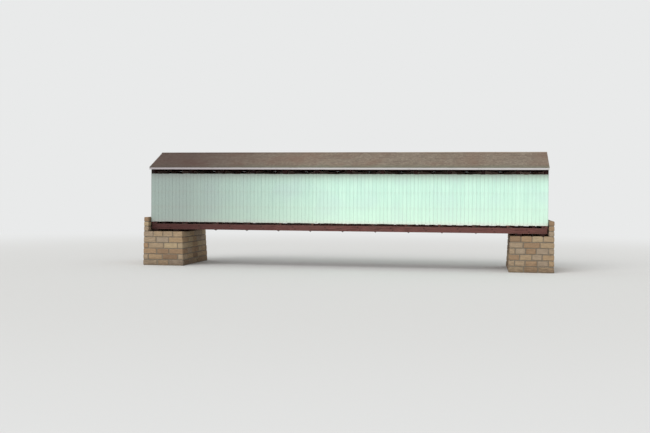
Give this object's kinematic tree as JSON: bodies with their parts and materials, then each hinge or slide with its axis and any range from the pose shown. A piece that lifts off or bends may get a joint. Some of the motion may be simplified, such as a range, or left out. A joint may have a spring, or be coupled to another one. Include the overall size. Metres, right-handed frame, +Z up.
{
  "type": "covered timber bridge",
  "caption": "Roofed timber truss bridge of one span, boarded along both sides, open at the portals, on squared stone abutments.",
  "frame": {"origin": "middle of the bridge in plan, at the foot of the abutments", "axes": "+X along the roadway, to the right in the picture; +Y across the bridge, away from the pictured side; +Z up"},
  "size_m": [30.16, 6.2, 8.6193],
  "materials": {
    "pale_siding_boards": "weathered boards with worn pale green paint",
    "sawn_timber": "aged reddish brown sawn timber, dull",
    "roof_shingles": "weathered wooden shingles, matt grey brown",
    "white_trim": "white oil paint, dull and streaked",
    "dark_iron": "dark rusted iron, rough",
    "sandstone": "squared tan and reddish sandstone, tooled faces"
  },
  "bodies": {
    "root": {"bed_timbers": "sawn_timber", "deck_planks": "sawn_timber", "end_posts": "sawn_timber", "floor_beams": "sawn_timber", "front_angle_blocks": "dark_iron", "front_bottom_chord": "sawn_timber", "front_counter_braces": "sawn_timber", "front_fascia": "white_trim", "front_girts": "sawn_timber", "front_main_braces": "sawn_timber", "front_rafter_plate": "sawn_timber", "front_rafters": "sawn_timber", "front_rods": "dark_iron", "front_roof_boards": "sawn_timber", "front_shingles": "roof_shingles", "front_siding": "pale_siding_boards", "front_top_chord": "sawn_timber", "gable_studs": "sawn_timber", "knee_braces": "sawn_timber", "left_abutment": "sandstone", "left_portal_siding": "pale_siding_boards", "left_rake_boards": "white_trim", "lower_lateral_braces": "sawn_timber", "rear_angle_blocks": "dark_iron", "rear_bottom_chord": "sawn_timber", "rear_counter_braces": "sawn_timber", "rear_fascia": "white_trim", "rear_girts": "sawn_timber", "rear_main_braces": "sawn_timber", "rear_rafter_plate": "sawn_timber", "rear_rafters": "sawn_timber", "rear_rods": "dark_iron", "rear_roof_boards": "sawn_timber", "rear_shingles": "roof_shingles", "rear_siding": "pale_siding_boards", "rear_top_chord": "sawn_timber", "ridge_cap": "roof_shingles", "right_abutment": "sandstone", "right_portal_siding": "pale_siding_boards", "right_rake_boards": "white_trim", "runner_planks": "sawn_timber", "stringers": "sawn_timber", "tie_beams": "sawn_timber", "upper_lateral_braces": "sawn_timber", "wheel_guards": "sawn_timber"}
  },
  "joints": []
}
